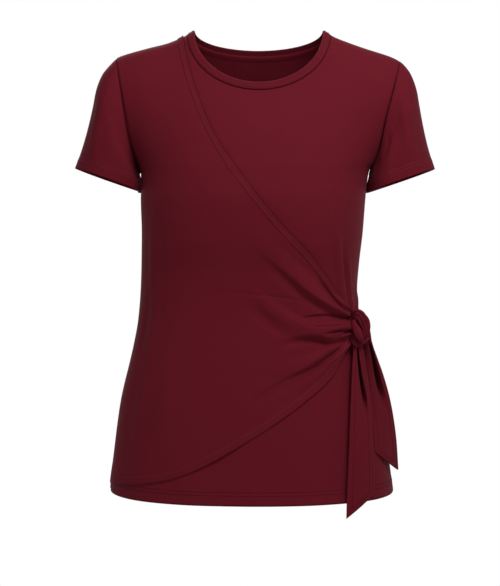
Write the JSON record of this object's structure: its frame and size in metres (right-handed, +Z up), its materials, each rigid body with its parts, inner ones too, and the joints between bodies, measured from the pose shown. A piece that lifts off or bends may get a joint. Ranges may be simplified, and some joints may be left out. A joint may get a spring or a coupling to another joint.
{
  "type": "wrap top",
  "caption": "Short-sleeved jersey wrap top, filled out as worn: round bound neck, crossed front gathered into a knot at the waist, two hanging tie ends.",
  "frame": {"origin": "where the wearer's shoulders hold the top: midway between the neck ends of the two shoulder seams, at their height", "axes": "+Z up, -Y the way the front of the top faces, +X towards the wearer's left side, where the tie is"},
  "size_m": [0.4852, 0.2453, 0.6484],
  "materials": {
    "jersey": "matt fine jersey knit",
    "edge_band": "matt fine jersey knit, turned and stitched",
    "neck_binding": "matt fine jersey knit, folded and stitched",
    "tie": "matt fine jersey knit, double"
  },
  "bodies": {
    "root": {"back": "jersey", "under_front": "jersey", "wrap_front": "jersey", "wrap_edge_band": "edge_band", "sleeve_right": "jersey", "sleeve_left": "jersey", "neck_binding": "neck_binding", "tie_knot": "tie", "tie_loop": "tie", "side_tie": "tie", "tie_tail_front": "tie", "tie_tail_back": "tie"}
  },
  "joints": []
}
